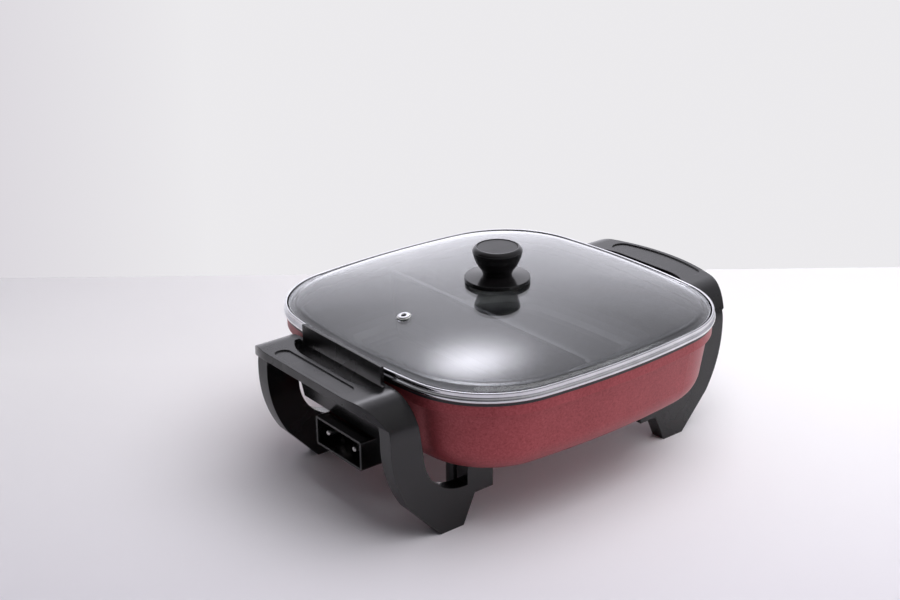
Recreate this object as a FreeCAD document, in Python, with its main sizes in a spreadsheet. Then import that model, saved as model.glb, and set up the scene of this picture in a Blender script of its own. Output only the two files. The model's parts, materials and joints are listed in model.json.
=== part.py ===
import FreeCAD, Part
import math
import os
import Sketcher

# An electric skillet: a square cast pan with a dividing wall stands on two
# moulded handle brackets, and a domed glass lid with a knob lifts off it.
# Millimetres, +Z up, floor at Z = 0, handles at -X and +X. The sketches are drawn
# about the middle of the pan, and every piece is then placed so that the
# origin is under the middle of the whole object.

SIZES = {
    # Outline shared by the lid and the pan: a square with bowed sides.
    "lid_half": 150.0,
    "side_bow_radius": 643.4,
    "corner_radius": 78.3,
    # Pan casting.
    "pan_rim_inset": 2.35,
    "pan_rim_rise": 64.5,
    "pan_step_drop": 9.8,
    "pan_step_inset": 5.44,
    "pan_foot_inset": 13.2,
    "pan_underside": 53.6,
    "pan_foot_radius": 24.0,
    "pan_wall": 3.5,
    "pan_floor": 5.0,
    "pan_lid_ledge_depth": 4.6,
    "pan_lid_ledge_width": 3.6,
    "cavity_foot_radius": 20.0,
    "divider_top_drop": 8.1,
    "divider_top_half": 2.0,
    "divider_foot_half": 3.6,
    "divider_foot_flare": 0.5,
    # Heating element, cast into a raised ring under the pan.
    "element_inset": 70.0,
    "element_corner_radius": 36.0,
    "element_turn_radius": 12.0,
    "element_radius": 3.3,
    "element_ring_half_width": 7.0,
    "element_cover": 1.8,
    "element_clearance": 0.05,
    # Terminals: two pins either side of the bore for the thermostat probe.
    "pin_rise": -1.6,
    "pin_offset": 17.3,
    "pin_radius": 2.2,
    "pin_shoulder_radius": 2.6,
    "pin_tip_overhang": 7.5,
    "pin_tip_radius": 1.6,
    "pin_root_overhang": -29.0,
    "bush_radius": 5.4,
    "bush_proud": 5.0,
    "bush_clearance": 0.1,
    "probe_radius": 3.3,
    "probe_depth": 45.0,
    "block_half_width": 29.0,
    "block_front_overhang": -14.0,
    "block_back_overhang": -66.0,
    "block_bottom_rise": -14.0,
    "block_top_rise": 9.0,
    # Guard round the terminals.
    "shroud_front_overhang": 9.3,
    "shroud_half_width": 30.0,
    "shroud_bottom_rise": -14.6,
    "shroud_top_rise": 9.8,
    "shroud_wall": 2.0,
    "shroud_back_wall": 2.4,
    "shroud_corner_radius": 1.6,
    "shroud_seat_gap": 0.05,
    "shroud_screw_offset": 24.4,
    "shroud_screw_rise": -8.6,
    "shroud_screw_radius": 1.5,
    "shroud_screw_depth": 9.0,
    "shroud_screw_head_radius": 2.9,
    "shroud_screw_head_height": 1.8,
    # Handle brackets, each a grip and two legs in one moulding.
    "grip_top_drop": 0.1,
    "grip_thickness": 8.0,
    "grip_edge": 6.8,
    "socket_grip_overhang": 38.8,
    "socket_grip_flat": 50.0,
    "socket_grip_bow": 54.8,
    "opposite_grip_overhang": 49.4,
    "opposite_grip_flat": 1.0,
    "opposite_grip_bow": 165.0,
    "grip_inner_overhang": 1.0,
    "grip_root_drop": 19.1,
    "bracket_half_width": 88.0,
    "shoulder_radius": 28.0,
    "leg_thickness": 13.0,
    "leg_overhang": 23.5,
    "leg_bow_radius": 99.9,
    "leg_bow_top_drop": 33.1,
    "knee_overhang": 7.0,
    "knee_height": 30.0,
    "foot_outer_overhang": -20.4,
    "foot_inner_overhang": -42.1,
    "heel_overhang": -53.1,
    "heel_height": 24.0,
    "leg_end_overhang": -70.8,
    "arch_centre_overhang": -43.5,
    "arch_centre_rise": 17.4,
    "arch_radius": 38.0,
    "arch_end_overhang": -46.3,
    "leg_pan_gap": 0.6,
    "finger_hole_overhang": 18.5,
    "finger_hole_flat": 28.0,
    "finger_hole_half": 56.0,
    "finger_hole_end_overhang": 8.0,
    "finger_hole_end_radius": 42.6,
    "thumb_recess_depth": 1.0,
    "thumb_recess_land": 3.5,
    "thumb_recess_flat": 42.0,
    "thumb_recess_end_share": 0.52,
    "back_plate_thickness": 3.0,
    "back_plate_half": 60.0,
    "back_plate_crease_drop": 2.1,
    "back_plate_belly_overhang": 7.5,
    "back_plate_belly_drop": 14.1,
    "back_plate_foot_rise": 12.4,
    "back_plate_foot_overhang": -3.6,
    "lid_wall_top_rise": 77.9,
    "lid_wall_half": 51.0,
    "tower_overhang": -55.0,
    "tower_offset": 65.0,
    "tower_radius": 9.0,
    "tower_web_half": 4.0,
    "boss_radius": 8.0,
    "boss_height": 3.0,
    "insulator_thickness": 1.5,
    "bracket_screw_radius": 2.0,
    "bracket_screw_clearance": 0.25,
    "bracket_screw_engagement": 5.6,
    "bracket_screw_head_radius": 4.0,
    "bracket_screw_head_height": 2.6,
    "bracket_counterbore_radius": 4.8,
    "bracket_counterbore_height": 38.0,
    # Lid.
    "lid_seat_gap": 0.35,
    "lid_rim_height": 9.2,
    "lid_rim_width": 6.6,
    "lid_rim_lip": 1.0,
    "lid_rim_wall": 1.6,
    "lid_rim_edge_radius": 2.4,
    "lid_skirt_clearance": 0.6,
    "lid_skirt_thickness": 1.0,
    "lid_skirt_depth": 4.0,
    "glass_thickness": 4.0,
    "glass_edge_gap": 0.1,
    "glass_bend_inset": 11.0,
    "glass_bend_rise": 2.6,
    "glass_shoulder_inset": 30.0,
    "glass_shoulder_rise": 6.9,
    "glass_vent_inset": 56.0,
    "glass_vent_rise": 11.4,
    "glass_crown_inset": 90.0,
    "glass_crown_rise": 15.4,
    "glass_flat_half": 24.0,
    "glass_side_bow_share": 4.29,
    "glass_side_bow_loss": 2.7,
    "glass_corner_share": 0.522,
    "glass_corner_gain": 0.42,
    "glass_hollow_inset": 2.0,
    "glass_rise": 17.6,
    "vent_bore_radius": 1.8,
    "vent_barrel_radius": 2.8,
    "vent_flange_radius": 5.0,
    "vent_flange_thickness": 0.9,
    "vent_hole_radius": 3.7,
    "vent_washer_thickness": 0.95,
    "vent_washer_radius": 5.4,
    "vent_seat_gap": 0.35,
    "vent_barrel_gap": 0.1,
    "vent_flange_gap": 0.6,
    "vent_flange_round": 1.08,
    "vent_tilt": 9.0,
    # Knob.
    "knob_gasket_thickness": 0.5,
    "knob_base_radius": 26.5,
    "knob_base_edge": 3.4,
    "knob_base_rise": 5.6,
    "knob_waist_radius": 11.6,
    "knob_neck_radius": 13.1,
    "knob_neck_rise": 3.8,
    "knob_bowl_radius": 20.3,
    "knob_bowl_rise": 16.0,
    "knob_bowl_arc": 32.0,
    "knob_height": 23.0,
    "knob_edge_arc": 4.6,
    "knob_lip": 0.8,
    "knob_cap_radius": 16.4,
    "knob_cap_thickness": 1.8,
    "knob_cap_gap": 0.15,
    "knob_cap_sink": 0.4,
    "knob_cap_edge": 0.5,
    "knob_insert_radius": 4.5,
    "knob_insert_length": 12.0,
    "knob_screw_radius": 2.4,
    "knob_screw_head_radius": 4.6,
    "knob_screw_head_height": 2.8,
    "knob_screw_head_edge": 1.2,
    "knob_screw_head_arc": 6.2,
    "knob_screw_end_gap": 2.0,
    "knob_screw_clearance": 0.3,
    "knob_washer_radius": 9.0,
    "knob_washer_thickness": 1.2,
    "knob_hole_radius": 4.0,
}

# Flats that stand for the quarter round at the foot of a compartment.
COVE_STEPS = 5

# How far a cutting outline runs past what it cuts.
OVERRUN = 1.0

# How far from a level an edge may lie and still be taken as lying on it.
EDGE_SLACK = 0.01

doc = FreeCAD.newDocument("Skillet")
sheet = doc.addObject("Spreadsheet::Sheet", "Sizes")
for row, (alias, number) in enumerate(SIZES.items(), start=1):
    sheet.set(f"A{row}", alias.replace("_", " "))
    sheet.set(f"B{row}", str(number))
    sheet.setAlias(f"B{row}", alias)
doc.recompute()


class Size:
    """A number together with the cell formula that gives it."""

    def __init__(self, number, formula):
        self.number = float(number)
        self.formula = formula

    def joined(self, other, sign, number):
        return Size(number, f"({self.formula} {sign} {sized(other).formula})")

    def __add__(self, other):
        return self.joined(other, "+", self.number + sized(other).number)

    def __sub__(self, other):
        return self.joined(other, "-", self.number - sized(other).number)

    def __mul__(self, other):
        return self.joined(other, "*", self.number * sized(other).number)

    def __truediv__(self, other):
        return self.joined(other, "/", self.number / sized(other).number)

    def __neg__(self):
        return Size(-self.number, f"(-1 * {self.formula})")


def sized(value):
    if isinstance(value, Size):
        return value
    return Size(value, f"({value})")


def square_root(value):
    return Size(math.sqrt(value.number), f"sqrt({value.formula})")


class Cells:
    """Gives each named cell of the sheet as a Size.

    A reach from the middle of the pan is an overhang beyond the lid's edge, some
    half widths are an inset within it, and a level is a rise above the pan's
    underside or a drop below its rim, so the pieces keep together when one grows.
    """

    def __getattr__(self, alias):
        stem, _, kind = alias.rpartition("_")
        if kind == "reach":
            return self.lid_half + self.cell(f"{stem}_overhang")
        if kind == "half" and f"{stem}_inset" in SIZES:
            return self.lid_half - self.cell(f"{stem}_inset")
        if kind == "level" and f"{stem}_drop" in SIZES:
            return self.pan_rim_level - self.cell(f"{stem}_drop")
        if kind == "level":
            return self.pan_underside + self.cell(f"{stem}_rise")
        return self.cell(alias)

    def cell(self, alias):
        return Size(sheet.get(alias), f"Sizes.{alias}")


cell = Cells()
ZERO = sized(0)


def new_body(label):
    body = doc.addObject("PartDesign::Body", label)
    body.Label = label
    return body


def origin_plane(body, role):
    for feature in body.Origin.OriginFeatures:
        if feature.Role == role:
            return feature
    raise ValueError(role)


def new_sketch(body, name, role="XY_Plane", level=ZERO):
    """A sketch on one of the body's origin planes, moved along its normal."""
    sketch = body.newObject("Sketcher::SketchObject", f"{body.Label}_{name}")
    sketch.AttachmentSupport = [(origin_plane(body, role), "")]
    sketch.MapMode = "FlatFace"
    if level is not ZERO:
        offset = FreeCAD.Vector(0, 0, level.number)
        sketch.AttachmentOffset = FreeCAD.Placement(offset, FreeCAD.Rotation())
        sketch.setExpression(".AttachmentOffset.Base.z", level.formula)
    return sketch


def bind(sketch, kind, *where):
    """Add a constraint whose value, the last argument, follows the sheet."""
    value = where[-1]
    index = sketch.addConstraint(Sketcher.Constraint(kind, *where[:-1], value.number))
    sketch.setExpression(f".Constraints[{index}]", value.formula)


def hold_point(sketch, edge, end, across, up):
    if across.number == 0:
        sketch.addConstraint(Sketcher.Constraint("PointOnObject", edge, end, -2))
    else:
        bind(sketch, "DistanceX", -1, 1, edge, end, across)
    if up.number == 0:
        sketch.addConstraint(Sketcher.Constraint("PointOnObject", edge, end, -1))
    else:
        bind(sketch, "DistanceY", -1, 1, edge, end, up)


def draw_edge(sketch, start, finish):
    """Draw one side and return its number with its start and finish ends.

    A corner with a third value is reached by an arc of that radius: to the
    left of the way it is drawn where positive, to the right where negative.
    """
    begin = FreeCAD.Vector(start[0].number, start[1].number, 0)
    stop = FreeCAD.Vector(finish[0].number, finish[1].number, 0)
    if len(finish) == 2:
        return sketch.addGeometry(Part.LineSegment(begin, stop)), 1, 2
    radius = finish[2]
    turn = 1 if radius.number > 0 else -1
    chord = stop - begin
    height = math.sqrt(radius.number ** 2 - (chord.Length / 2) ** 2)
    left = FreeCAD.Vector(-chord.y, chord.x, 0).normalize()
    centre = (begin + stop) / 2 + left * (turn * height)
    circle = Part.Circle(centre, FreeCAD.Vector(0, 0, 1), abs(radius.number))
    angle_begin = math.atan2(begin.y - centre.y, begin.x - centre.x)
    angle_stop = math.atan2(stop.y - centre.y, stop.x - centre.x)
    if turn > 0:
        edge = sketch.addGeometry(Part.ArcOfCircle(circle, angle_begin, angle_stop))
        bind(sketch, "Radius", edge, radius)
        return edge, 1, 2
    edge = sketch.addGeometry(Part.ArcOfCircle(circle, angle_stop, angle_begin))
    bind(sketch, "Radius", edge, -radius)
    return edge, 2, 1


def draw_loop(sketch, corners):
    """Draw a closed outline through corners given as Size pairs."""
    sides = []
    for index, corner in enumerate(corners):
        sides.append(draw_edge(sketch, corners[index - 1], corner))
    for index, corner in enumerate(corners):
        edge, _, finish = sides[index]
        following, start, _ = sides[(index + 1) % len(corners)]
        sketch.addConstraint(Sketcher.Constraint("Coincident", edge, finish, following, start))
        hold_point(sketch, edge, finish, corner[0], corner[1])


def draw_circle(sketch, across, up, radius):
    centre = FreeCAD.Vector(across.number, up.number, 0)
    circle = Part.Circle(centre, FreeCAD.Vector(0, 0, 1), radius.number)
    edge = sketch.addGeometry(circle)
    hold_point(sketch, edge, 3, across, up)
    bind(sketch, "Radius", edge, radius)


def mirrored(corners):
    """The same outline on the other side of the vertical axis."""
    result = []
    for corner in corners:
        result.append((-corner[0], corner[1]) + tuple(-radius for radius in corner[2:]))
    return result


def turned_over(corners):
    """The same outline on the other side of the horizontal axis."""
    result = []
    for corner in corners:
        result.append((corner[0], -corner[1]) + tuple(-radius for radius in corner[2:]))
    return result


def new_feature(body, kind, name, **settings):
    """Add a feature, with every Size among its settings bound to the sheet."""
    feature = body.newObject(f"PartDesign::{kind}", f"{body.Label}_{name}")
    for key, value in settings.items():
        if isinstance(value, Size):
            setattr(feature, key, value.number)
            feature.setExpression(key, value.formula)
        else:
            setattr(feature, key, value)
    return feature


def edges_where(feature, test):
    """Names of a feature's edges whose bounding box passes the test."""
    doc.recompute()
    names = []
    for index, edge in enumerate(feature.Shape.Edges, start=1):
        if test(edge.BoundBox):
            names.append(f"Edge{index}")
    return names


def is_level(box):
    return abs(box.ZMax - box.ZMin) < EDGE_SLACK


def lies_level(level):
    """A test for edges that lie flat at a height."""
    def test(box):
        return is_level(box) and abs(box.ZMax - level.number) < EDGE_SLACK
    return test


def box_loop(left, right, bottom, top):
    return [(left, bottom), (right, bottom), (right, top), (left, top)]


def rounded_box_loop(half_width, bottom, top, radius):
    """A box outline about the vertical axis, with rounded corners."""
    inner = half_width - radius
    return [(-inner, bottom, radius), (inner, bottom), (half_width, bottom + radius, radius),
            (half_width, top - radius), (inner, top, radius), (-inner, top),
            (-half_width, top - radius, radius), (-half_width, bottom + radius)]


def turned(label, corners):
    """A body turned about the vertical axis from a half profile."""
    body = new_body(label)
    sketch = new_sketch(body, "profile", "XZ_Plane")
    draw_loop(sketch, corners)
    new_feature(body, "Revolution", "turn", Profile=sketch,
                ReferenceAxis=(sketch, ["V_Axis"]), Angle=360.0)
    return body


def washer_profile(bore, radius, bottom, top):
    return box_loop(bore, radius, bottom, top)


# Bowed square outlines.


def bow_radii(half):
    """Side and corner radii of an outline offset from the lid's own."""
    inset = cell.lid_half - half
    return cell.side_bow_radius - inset, cell.corner_radius - inset


def bow_joint(half, side, corner):
    """Where a side's arc meets a corner's arc, as its larger and smaller ordinate."""
    back = side - half
    span = side - corner
    centre = (square_root(span * span * 2 - back * back) - back) / 2
    far = side * (centre + back) / span - back
    near = side * centre / span
    return far, near


def bowed_square(half, radii=None):
    side, corner = radii or bow_radii(half)
    far, near = bow_joint(half, side, corner)
    return [(far, -near, corner), (far, near, side), (near, far, corner), (-near, far, side),
            (-far, near, corner), (-far, -near, side), (-near, -far, corner), (near, -far, side)]


def compartment(half, wall_half):
    """One side of a bowed square, cut off along the dividing wall."""
    side, corner = bow_radii(half)
    far, near = bow_joint(half, side, corner)
    reach = square_root(side * side - wall_half * wall_half) - (side - half)
    return [(wall_half, -reach), (near, -far, side), (far, -near, corner), (far, near, side),
            (near, far, corner), (wall_half, reach, side)]


# Levels and reaches shared by pieces that fit together.

floor_top = cell.pan_underside + cell.pan_floor
ring_bottom = cell.pin_level - cell.element_radius - cell.element_cover
boss_bottom = cell.pan_underside - cell.boss_height
ring_root = cell.pan_underside + cell.pan_floor / 2
tower_top = boss_bottom - cell.insulator_thickness
leg_top = cell.pan_underside - cell.leg_pan_gap
screw_head_top = cell.bracket_counterbore_height
wall_taper = (cell.pan_step_half - cell.pan_foot_half) / (cell.pan_step_level - cell.pan_underside)
shroud_back = cell.block_front_reach + cell.shroud_seat_gap
lid_seat = cell.pan_rim_level + cell.lid_seat_gap
lid_rim_top = lid_seat + cell.lid_rim_height
lid_rim_inner = cell.lid_half - cell.lid_rim_width
glass_top = lid_rim_top - cell.lid_rim_lip - cell.glass_edge_gap
glass_bottom = glass_top - cell.glass_thickness
glass_half = cell.lid_half - cell.lid_rim_wall - cell.glass_edge_gap
ledge_level = cell.pan_rim_level - cell.pan_lid_ledge_depth
ledge_half = cell.pan_rim_half - cell.pan_lid_ledge_width
glass_apex = glass_top + cell.glass_rise
glass_apex_under = glass_apex - cell.glass_thickness
vent_surface = glass_top + cell.glass_vent_rise
knob_seat = glass_apex + cell.knob_gasket_thickness
knob_waist_level = knob_seat + cell.knob_base_rise


def inner_half(level):
    """Half width inside the pan's tapered wall at a level."""
    return cell.pan_foot_half + wall_taper * (level - cell.pan_underside) - cell.pan_wall


def build_compartment(label, turn):
    """The space of one compartment, whose foot rounds up into the tapered wall."""
    body = new_body(label)
    radius = cell.cavity_foot_radius
    sections = []
    for step in range(COVE_STEPS + 1):
        angle = math.pi / 2 * step / COVE_STEPS
        level = floor_top + radius * round(1 - math.cos(angle), 6)
        inset = radius * round(1 - math.sin(angle), 6)
        section = new_sketch(body, f"cove_{step}", level=level)
        wall_half = cell.divider_foot_half + inset * cell.divider_foot_flare
        draw_loop(section, turn(compartment(inner_half(level) - inset, wall_half)))
        sections.append(section)
    brim = new_sketch(body, "brim", level=cell.divider_top_level)
    brim_half = inner_half(cell.divider_top_level)
    draw_loop(brim, turn(compartment(brim_half, cell.divider_top_half)))
    sections.append(brim)
    new_feature(body, "AdditiveLoft", "space", Profile=sections[0], Sections=sections[1:],
                Ruled=True)
    return body


def build_hollow():
    """All that is empty inside the pan: two compartments, the mouth and the lid's ledge."""
    mouth = new_body("pan_mouth")
    opening = new_sketch(mouth, "opening", level=cell.divider_top_level)
    draw_loop(opening, bowed_square(inner_half(cell.divider_top_level)))
    new_feature(mouth, "Pad", "above_divider", Profile=opening,
                Length=cell.pan_rim_level - cell.divider_top_level + OVERRUN)
    ledge = new_sketch(mouth, "ledge", level=ledge_level)
    draw_loop(ledge, bowed_square(ledge_half))
    new_feature(mouth, "Pad", "lid_ledge", Profile=ledge, Length=cell.pan_lid_ledge_depth + OVERRUN)
    hollow = doc.addObject("Part::MultiFuse", "pan_hollow")
    hollow.Shapes = [build_compartment("socket_side_compartment", mirrored),
                     build_compartment("opposite_side_compartment", list), mouth]
    return hollow


def build_pan():
    body = new_body("pan_solid")
    foot = new_sketch(body, "foot", level=cell.pan_underside)
    draw_loop(foot, bowed_square(cell.pan_foot_half))
    step = new_sketch(body, "step", level=cell.pan_step_level)
    draw_loop(step, bowed_square(cell.pan_step_half))
    wall = new_feature(body, "AdditiveLoft", "wall", Profile=foot, Sections=[step], Ruled=True)
    foot_edges = edges_where(wall, lies_level(cell.pan_underside))
    new_feature(body, "Fillet", "foot_round", Base=(wall, foot_edges), Radius=cell.pan_foot_radius)

    rim = new_sketch(body, "rim", level=cell.pan_step_level)
    draw_loop(rim, bowed_square(cell.pan_rim_half))
    new_feature(body, "Pad", "rim_band", Profile=rim, Length=cell.pan_rim_level - cell.pan_step_level)

    ring = new_sketch(body, "ring", level=ring_bottom)
    for offset in (cell.element_ring_half_width, -cell.element_ring_half_width):
        half = cell.element_half + offset
        radius = cell.element_corner_radius + offset
        draw_loop(ring, rounded_box_loop(half, -half, half, radius))
    new_feature(body, "Pad", "element_ring", Profile=ring, Length=ring_root - ring_bottom)

    block = new_sketch(body, "block", level=cell.block_bottom_level)
    block_inner = cell.block_half_width - cell.shroud_wall
    draw_loop(block, box_loop(-cell.block_front_reach, -cell.block_back_reach,
                              -block_inner, block_inner))
    new_feature(body, "Pad", "terminal_block", Profile=block,
                Length=cell.block_top_level - cell.block_bottom_level)

    bosses = new_sketch(body, "bosses", level=boss_bottom)
    for across in (-cell.tower_reach, cell.tower_reach):
        for up in (-cell.tower_offset, cell.tower_offset):
            draw_circle(bosses, across, up, cell.boss_radius)
    new_feature(body, "Pad", "bracket_bosses", Profile=bosses, Length=ring_root - boss_bottom)

    tunnel = new_sketch(body, "tunnel", "YZ_Plane", -cell.pin_root_reach)
    spine = element_route(body)
    draw_circle(tunnel, -cell.pin_offset, cell.pin_level,
                cell.element_radius + cell.element_clearance)
    new_feature(body, "SubtractivePipe", "element_tunnel", Profile=tunnel, Spine=spine)

    bores = new_sketch(body, "bush_bores", "YZ_Plane", -cell.block_front_reach)
    for up in (-cell.pin_offset, cell.pin_offset):
        draw_circle(bores, up, cell.pin_level, cell.bush_radius + cell.bush_clearance)
    new_feature(body, "Pocket", "bush_seats", Profile=bores, Reversed=True,
                Length=cell.block_front_reach - cell.pin_root_reach)
    probe = new_sketch(body, "probe_bore", "YZ_Plane", -cell.block_front_reach)
    draw_circle(probe, ZERO, cell.pin_level, cell.probe_radius)
    new_feature(body, "Pocket", "probe_hole", Profile=probe, Reversed=True,
                Length=cell.probe_depth)
    taps = new_sketch(body, "shroud_taps", "YZ_Plane", -cell.block_front_reach)
    for up in (-cell.shroud_screw_offset, cell.shroud_screw_offset):
        draw_circle(taps, up, cell.shroud_screw_level, cell.shroud_screw_radius)
    new_feature(body, "Pocket", "shroud_threads", Profile=taps, Reversed=True,
                Length=cell.shroud_screw_depth)
    threads = new_sketch(body, "bracket_taps", level=boss_bottom)
    for across in (-cell.tower_reach, cell.tower_reach):
        for up in (-cell.tower_offset, cell.tower_offset):
            draw_circle(threads, across, up, cell.bracket_screw_radius)
    new_feature(body, "Pocket", "bracket_threads", Profile=threads, Reversed=True,
                Length=cell.bracket_screw_engagement)
    casting = doc.addObject("Part::Cut", "pan_casting")
    casting.Label = "pan_casting"
    casting.Base = body
    casting.Tool = build_hollow()
    return casting


def element_route(body):
    """The line of the heating element: a ring whose ends turn out to the pins."""
    spine = new_sketch(body, "route", level=cell.pin_level)
    half = cell.element_half
    corner = half - cell.element_corner_radius
    turn = cell.element_turn_radius
    gap = cell.pin_offset
    points = [(-cell.pin_root_reach, -gap), (-half - turn, -gap), (-half, -gap - turn, -turn),
              (-half, -corner), (-corner, -half, cell.element_corner_radius), (corner, -half),
              (half, -corner, cell.element_corner_radius), (half, corner),
              (corner, half, cell.element_corner_radius), (-corner, half),
              (-half, corner, cell.element_corner_radius), (-half, gap + turn),
              (-half - turn, gap, -turn), (-cell.pin_root_reach, gap)]
    edge, start, end = draw_edge(spine, points[0], points[1])
    hold_point(spine, edge, start, points[0][0], points[0][1])
    hold_point(spine, edge, end, points[1][0], points[1][1])
    for before, after in zip(points[1:], points[2:]):
        following, start, finish = draw_edge(spine, before, after)
        spine.addConstraint(Sketcher.Constraint("Coincident", edge, end, following, start))
        hold_point(spine, following, finish, after[0], after[1])
        edge, end = following, finish
    return spine


def build_element():
    body = new_body("heating_element")
    section = new_sketch(body, "section", "YZ_Plane", -cell.pin_root_reach)
    draw_circle(section, -cell.pin_offset, cell.pin_level, cell.element_radius)
    new_feature(body, "AdditivePipe", "tube", Profile=section, Spine=element_route(body))
    return body


def build_terminals():
    bush_end = shroud_back + cell.shroud_back_wall + cell.bush_proud
    pins = new_body("terminal_pins")
    root = new_sketch(pins, "root", "YZ_Plane", -cell.pin_root_reach)
    free = new_sketch(pins, "free_end", "YZ_Plane", -cell.pin_root_reach)
    for up in (-cell.pin_offset, cell.pin_offset):
        draw_circle(root, up, cell.pin_level, cell.pin_shoulder_radius)
        draw_circle(free, up, cell.pin_level, cell.pin_radius)
    new_feature(pins, "Pad", "shoulders", Profile=root, Reversed=True,
                Length=bush_end - cell.pin_root_reach)
    shafts = new_feature(pins, "Pad", "shafts", Profile=free, Reversed=True,
                         Length=cell.pin_tip_reach - cell.pin_root_reach)

    def tip(box):
        return abs(box.XMax + cell.pin_tip_reach.number) < EDGE_SLACK

    new_feature(pins, "Fillet", "tips", Base=(shafts, edges_where(shafts, tip)),
                Radius=cell.pin_tip_radius)

    bushes = new_body("ceramic_bushes")
    face = new_sketch(bushes, "face", "YZ_Plane", -cell.pin_root_reach)
    for up in (-cell.pin_offset, cell.pin_offset):
        draw_circle(face, up, cell.pin_level, cell.bush_radius)
        draw_circle(face, up, cell.pin_level, cell.pin_shoulder_radius + cell.bush_clearance)
    new_feature(bushes, "Pad", "sleeves", Profile=face, Reversed=True,
                Length=bush_end - cell.pin_root_reach)
    return [pins, bushes]


def build_shroud():
    body = new_body("socket_shroud")
    back = new_sketch(body, "back", "YZ_Plane", -shroud_back)
    draw_loop(back, rounded_box_loop(cell.shroud_half_width, cell.shroud_bottom_level,
                                     cell.shroud_top_level, cell.shroud_corner_radius))
    new_feature(body, "Pad", "guard", Profile=back, Reversed=True,
                Length=cell.shroud_front_reach - shroud_back)
    front = new_sketch(body, "front", "YZ_Plane", -cell.shroud_front_reach)
    wall = cell.shroud_wall
    draw_loop(front, box_loop(-cell.shroud_half_width + wall, cell.shroud_half_width - wall,
                              cell.shroud_bottom_level + wall, cell.shroud_top_level - wall))
    new_feature(body, "Pocket", "socket", Profile=front, Reversed=True,
                Length=cell.shroud_front_reach - shroud_back - cell.shroud_back_wall)
    holes = new_sketch(body, "holes", "YZ_Plane", -shroud_back)
    draw_circle(holes, ZERO, cell.pin_level, cell.probe_radius + cell.bush_clearance)
    for up in (-cell.pin_offset, cell.pin_offset):
        draw_circle(holes, up, cell.pin_level, cell.bush_radius + cell.bush_clearance)
    for up in (-cell.shroud_screw_offset, cell.shroud_screw_offset):
        draw_circle(holes, up, cell.shroud_screw_level,
                    cell.shroud_screw_radius + cell.bush_clearance)
    new_feature(body, "Pocket", "back_holes", Profile=holes, SideType="Symmetric",
                Length=cell.shroud_back_wall * 3)

    screws = new_body("shroud_screws")
    seat = shroud_back + cell.shroud_back_wall
    heads = new_sketch(screws, "heads", "YZ_Plane", -seat)
    shanks = new_sketch(screws, "shanks", "YZ_Plane", -seat)
    for up in (-cell.shroud_screw_offset, cell.shroud_screw_offset):
        draw_circle(heads, up, cell.shroud_screw_level, cell.shroud_screw_head_radius)
        draw_circle(shanks, up, cell.shroud_screw_level, cell.shroud_screw_radius)
    new_feature(screws, "Pad", "pan_heads", Profile=heads, Reversed=True,
                Length=cell.shroud_screw_head_height)
    new_feature(screws, "Pad", "threads", Profile=shanks,
                Length=seat - cell.block_front_reach + cell.shroud_screw_depth)
    return [body, screws]


def side_outline(reach):
    """Leg, arch and grip seen from the side, from the inner edge of the grip."""
    arch = cell.arch_radius
    return [(cell.grip_inner_reach, cell.grip_top_level), (reach, cell.grip_top_level),
            (reach, cell.grip_top_level - cell.grip_edge), (cell.leg_reach, cell.grip_root_level),
            (cell.leg_reach, cell.leg_bow_top_level),
            (cell.knee_reach, cell.knee_height, -cell.leg_bow_radius),
            (cell.foot_outer_reach, ZERO), (cell.foot_inner_reach, ZERO),
            (cell.heel_reach, cell.heel_height), (cell.leg_end_reach, cell.heel_height),
            (cell.leg_end_reach, leg_top), (cell.arch_end_reach, leg_top),
            (cell.arch_end_reach, cell.arch_centre_level - arch),
            (cell.arch_centre_reach, cell.arch_centre_level - arch),
            (cell.arch_centre_reach + arch, cell.arch_centre_level, arch)]


def plan_cut(reach, flat, bow):
    """What is cut off outside the bowed edge of a grip, seen from above."""
    beyond = cell.bracket_half_width + OVERRUN
    span = beyond - flat
    end_reach = reach - bow + square_root(bow * bow - span * span)
    outside = reach + OVERRUN
    return [(reach, flat), (end_reach, beyond, bow), (outside, beyond), (outside, flat)]


def finger_hole():
    inner = cell.grip_inner_reach + cell.back_plate_thickness
    radius = cell.finger_hole_end_radius
    flat = cell.finger_hole_flat
    return [(inner, -cell.finger_hole_half), (cell.finger_hole_end_reach, -cell.finger_hole_half),
            (cell.finger_hole_reach, -flat, radius), (cell.finger_hole_reach, flat),
            (cell.finger_hole_end_reach, cell.finger_hole_half, radius),
            (inner, cell.finger_hole_half)]


def thumb_recess(reach, flat, bow):
    """A shallow recess along the grip, whose outer side follows its edge."""
    land = cell.thumb_recess_land
    inner = cell.finger_hole_reach + land
    end = cell.thumb_recess_flat
    outer = reach - land
    if end.number > flat.number:
        span = end - flat
        offset_bow = bow - land
        outer_end = outer - offset_bow + square_root(offset_bow * offset_bow - span * span)
        end_radius = (outer_end - inner) * cell.thumb_recess_end_share
        return [(inner, -end), (outer_end, -end, end_radius),
                (outer_end, end, offset_bow), (inner, end, end_radius)]
    end_radius = (outer - inner) * cell.thumb_recess_end_share
    return [(inner, -end), (outer, -end, end_radius), (outer, end), (inner, end, end_radius)]


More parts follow.
